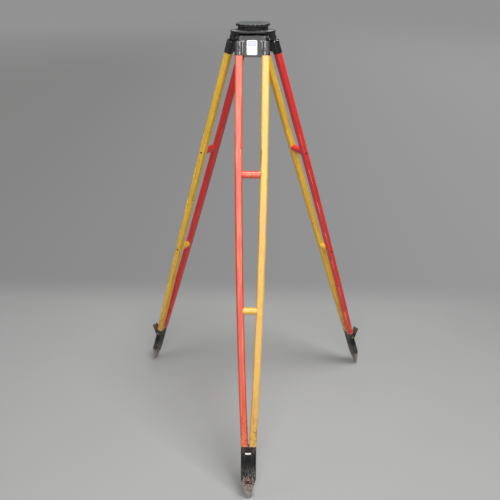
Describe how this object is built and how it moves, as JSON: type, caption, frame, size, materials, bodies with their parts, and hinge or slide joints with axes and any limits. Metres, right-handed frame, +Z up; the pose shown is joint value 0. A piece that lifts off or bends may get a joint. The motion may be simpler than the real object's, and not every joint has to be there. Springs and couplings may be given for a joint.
{
  "type": "surveyor's tripod",
  "caption": "Three-legged wooden surveying tripod with hinged fixed-length legs, spurred pointed feet and a screw cap over the instrument thread of its round metal head.",
  "frame": {"origin": "ground point under the head's vertical axis, where a plumb line from the head meets the ground", "axes": "+Z up along the head's axis; the front leg points towards -Y, the right and left legs towards 30 and 150 degrees from +X"},
  "size_m": [0.9296, 0.8149, 1.4885],
  "materials": {
    "black_paint": "semi-gloss black paint, chipped at edges",
    "cap_black": "moulded satin black",
    "fibre": "oiled fibre",
    "red_wood": "worn gloss paint",
    "yellow_wood": "worn gloss paint",
    "dark_steel": "oiled",
    "bare_steel": "ground-worn",
    "brass": "dull",
    "label_white": "blank printed-stock sticker"
  },
  "bodies": {
    "head": {"head_casting": "black_paint", "hinge_bolt_front": "dark_steel", "hinge_nut_front": "dark_steel", "hinge_washers_front": "dark_steel", "hinge_bolt_right": "dark_steel", "hinge_nut_right": "dark_steel", "hinge_washers_right": "dark_steel", "hinge_bolt_left": "dark_steel", "hinge_nut_left": "dark_steel", "hinge_washers_left": "dark_steel"},
    "cap_screw": {"cap_liner": "fibre"},
    "cap_body": {"cap": "cap_black"},
    "leg_front": {"yoke_front": "black_paint", "stave_red_front": "red_wood", "stave_yellow_front": "yellow_wood", "rung_upper_front": "red_wood", "rung_lower_front": "yellow_wood", "rung_screws_front": "dark_steel", "socket_rivets_front": "black_paint", "shoe_front": "black_paint", "shoe_rivet_front": "brass", "shoe_point_front": "bare_steel", "label": "label_white"},
    "leg_right": {"yoke_right": "black_paint", "stave_red_right": "red_wood", "stave_yellow_right": "yellow_wood", "rung_upper_right": "red_wood", "rung_lower_right": "yellow_wood", "rung_screws_right": "dark_steel", "socket_rivets_right": "black_paint", "shoe_right": "black_paint", "shoe_rivet_right": "brass", "shoe_point_right": "bare_steel"},
    "leg_left": {"yoke_left": "black_paint", "stave_red_left": "red_wood", "stave_yellow_left": "yellow_wood", "rung_upper_left": "red_wood", "rung_lower_left": "yellow_wood", "rung_screws_left": "dark_steel", "socket_rivets_left": "black_paint", "shoe_left": "black_paint", "shoe_rivet_left": "brass", "shoe_point_left": "bare_steel"}
  },
  "joints": [
    {"name": "leg_front_hinge", "type": "hinge", "parent": "head", "child": "leg_front", "pos_m": [0, -0.0501, 1.449], "axis": [-1, 0, 0], "range_deg": [-18.5, 12]},
    {"name": "leg_right_hinge", "type": "hinge", "parent": "head", "child": "leg_right", "pos_m": [0.04339, 0.02505, 1.449], "axis": [0.5, -0.866, 0], "range_deg": [-18.5, 12]},
    {"name": "leg_left_hinge", "type": "hinge", "parent": "head", "child": "leg_left", "pos_m": [-0.04339, 0.02505, 1.449], "axis": [0.5, 0.866, 0], "range_deg": [-18.5, 12]},
    {"name": "cap_lift", "type": "slide", "parent": "head", "child": "cap_screw", "axis": [0, 0, 1], "range_m": [0, 0.01588]},
    {"name": "cap_turn", "type": "hinge", "parent": "cap_screw", "child": "cap_body", "pos_m": [0, 0, 1.476], "axis": [0, 0, 1], "range_deg": [0, 1800]}
  ],
  "couplings": [
    {"joint": "cap_turn", "follows": "cap_lift", "rad_per_m": 1979}
  ]
}
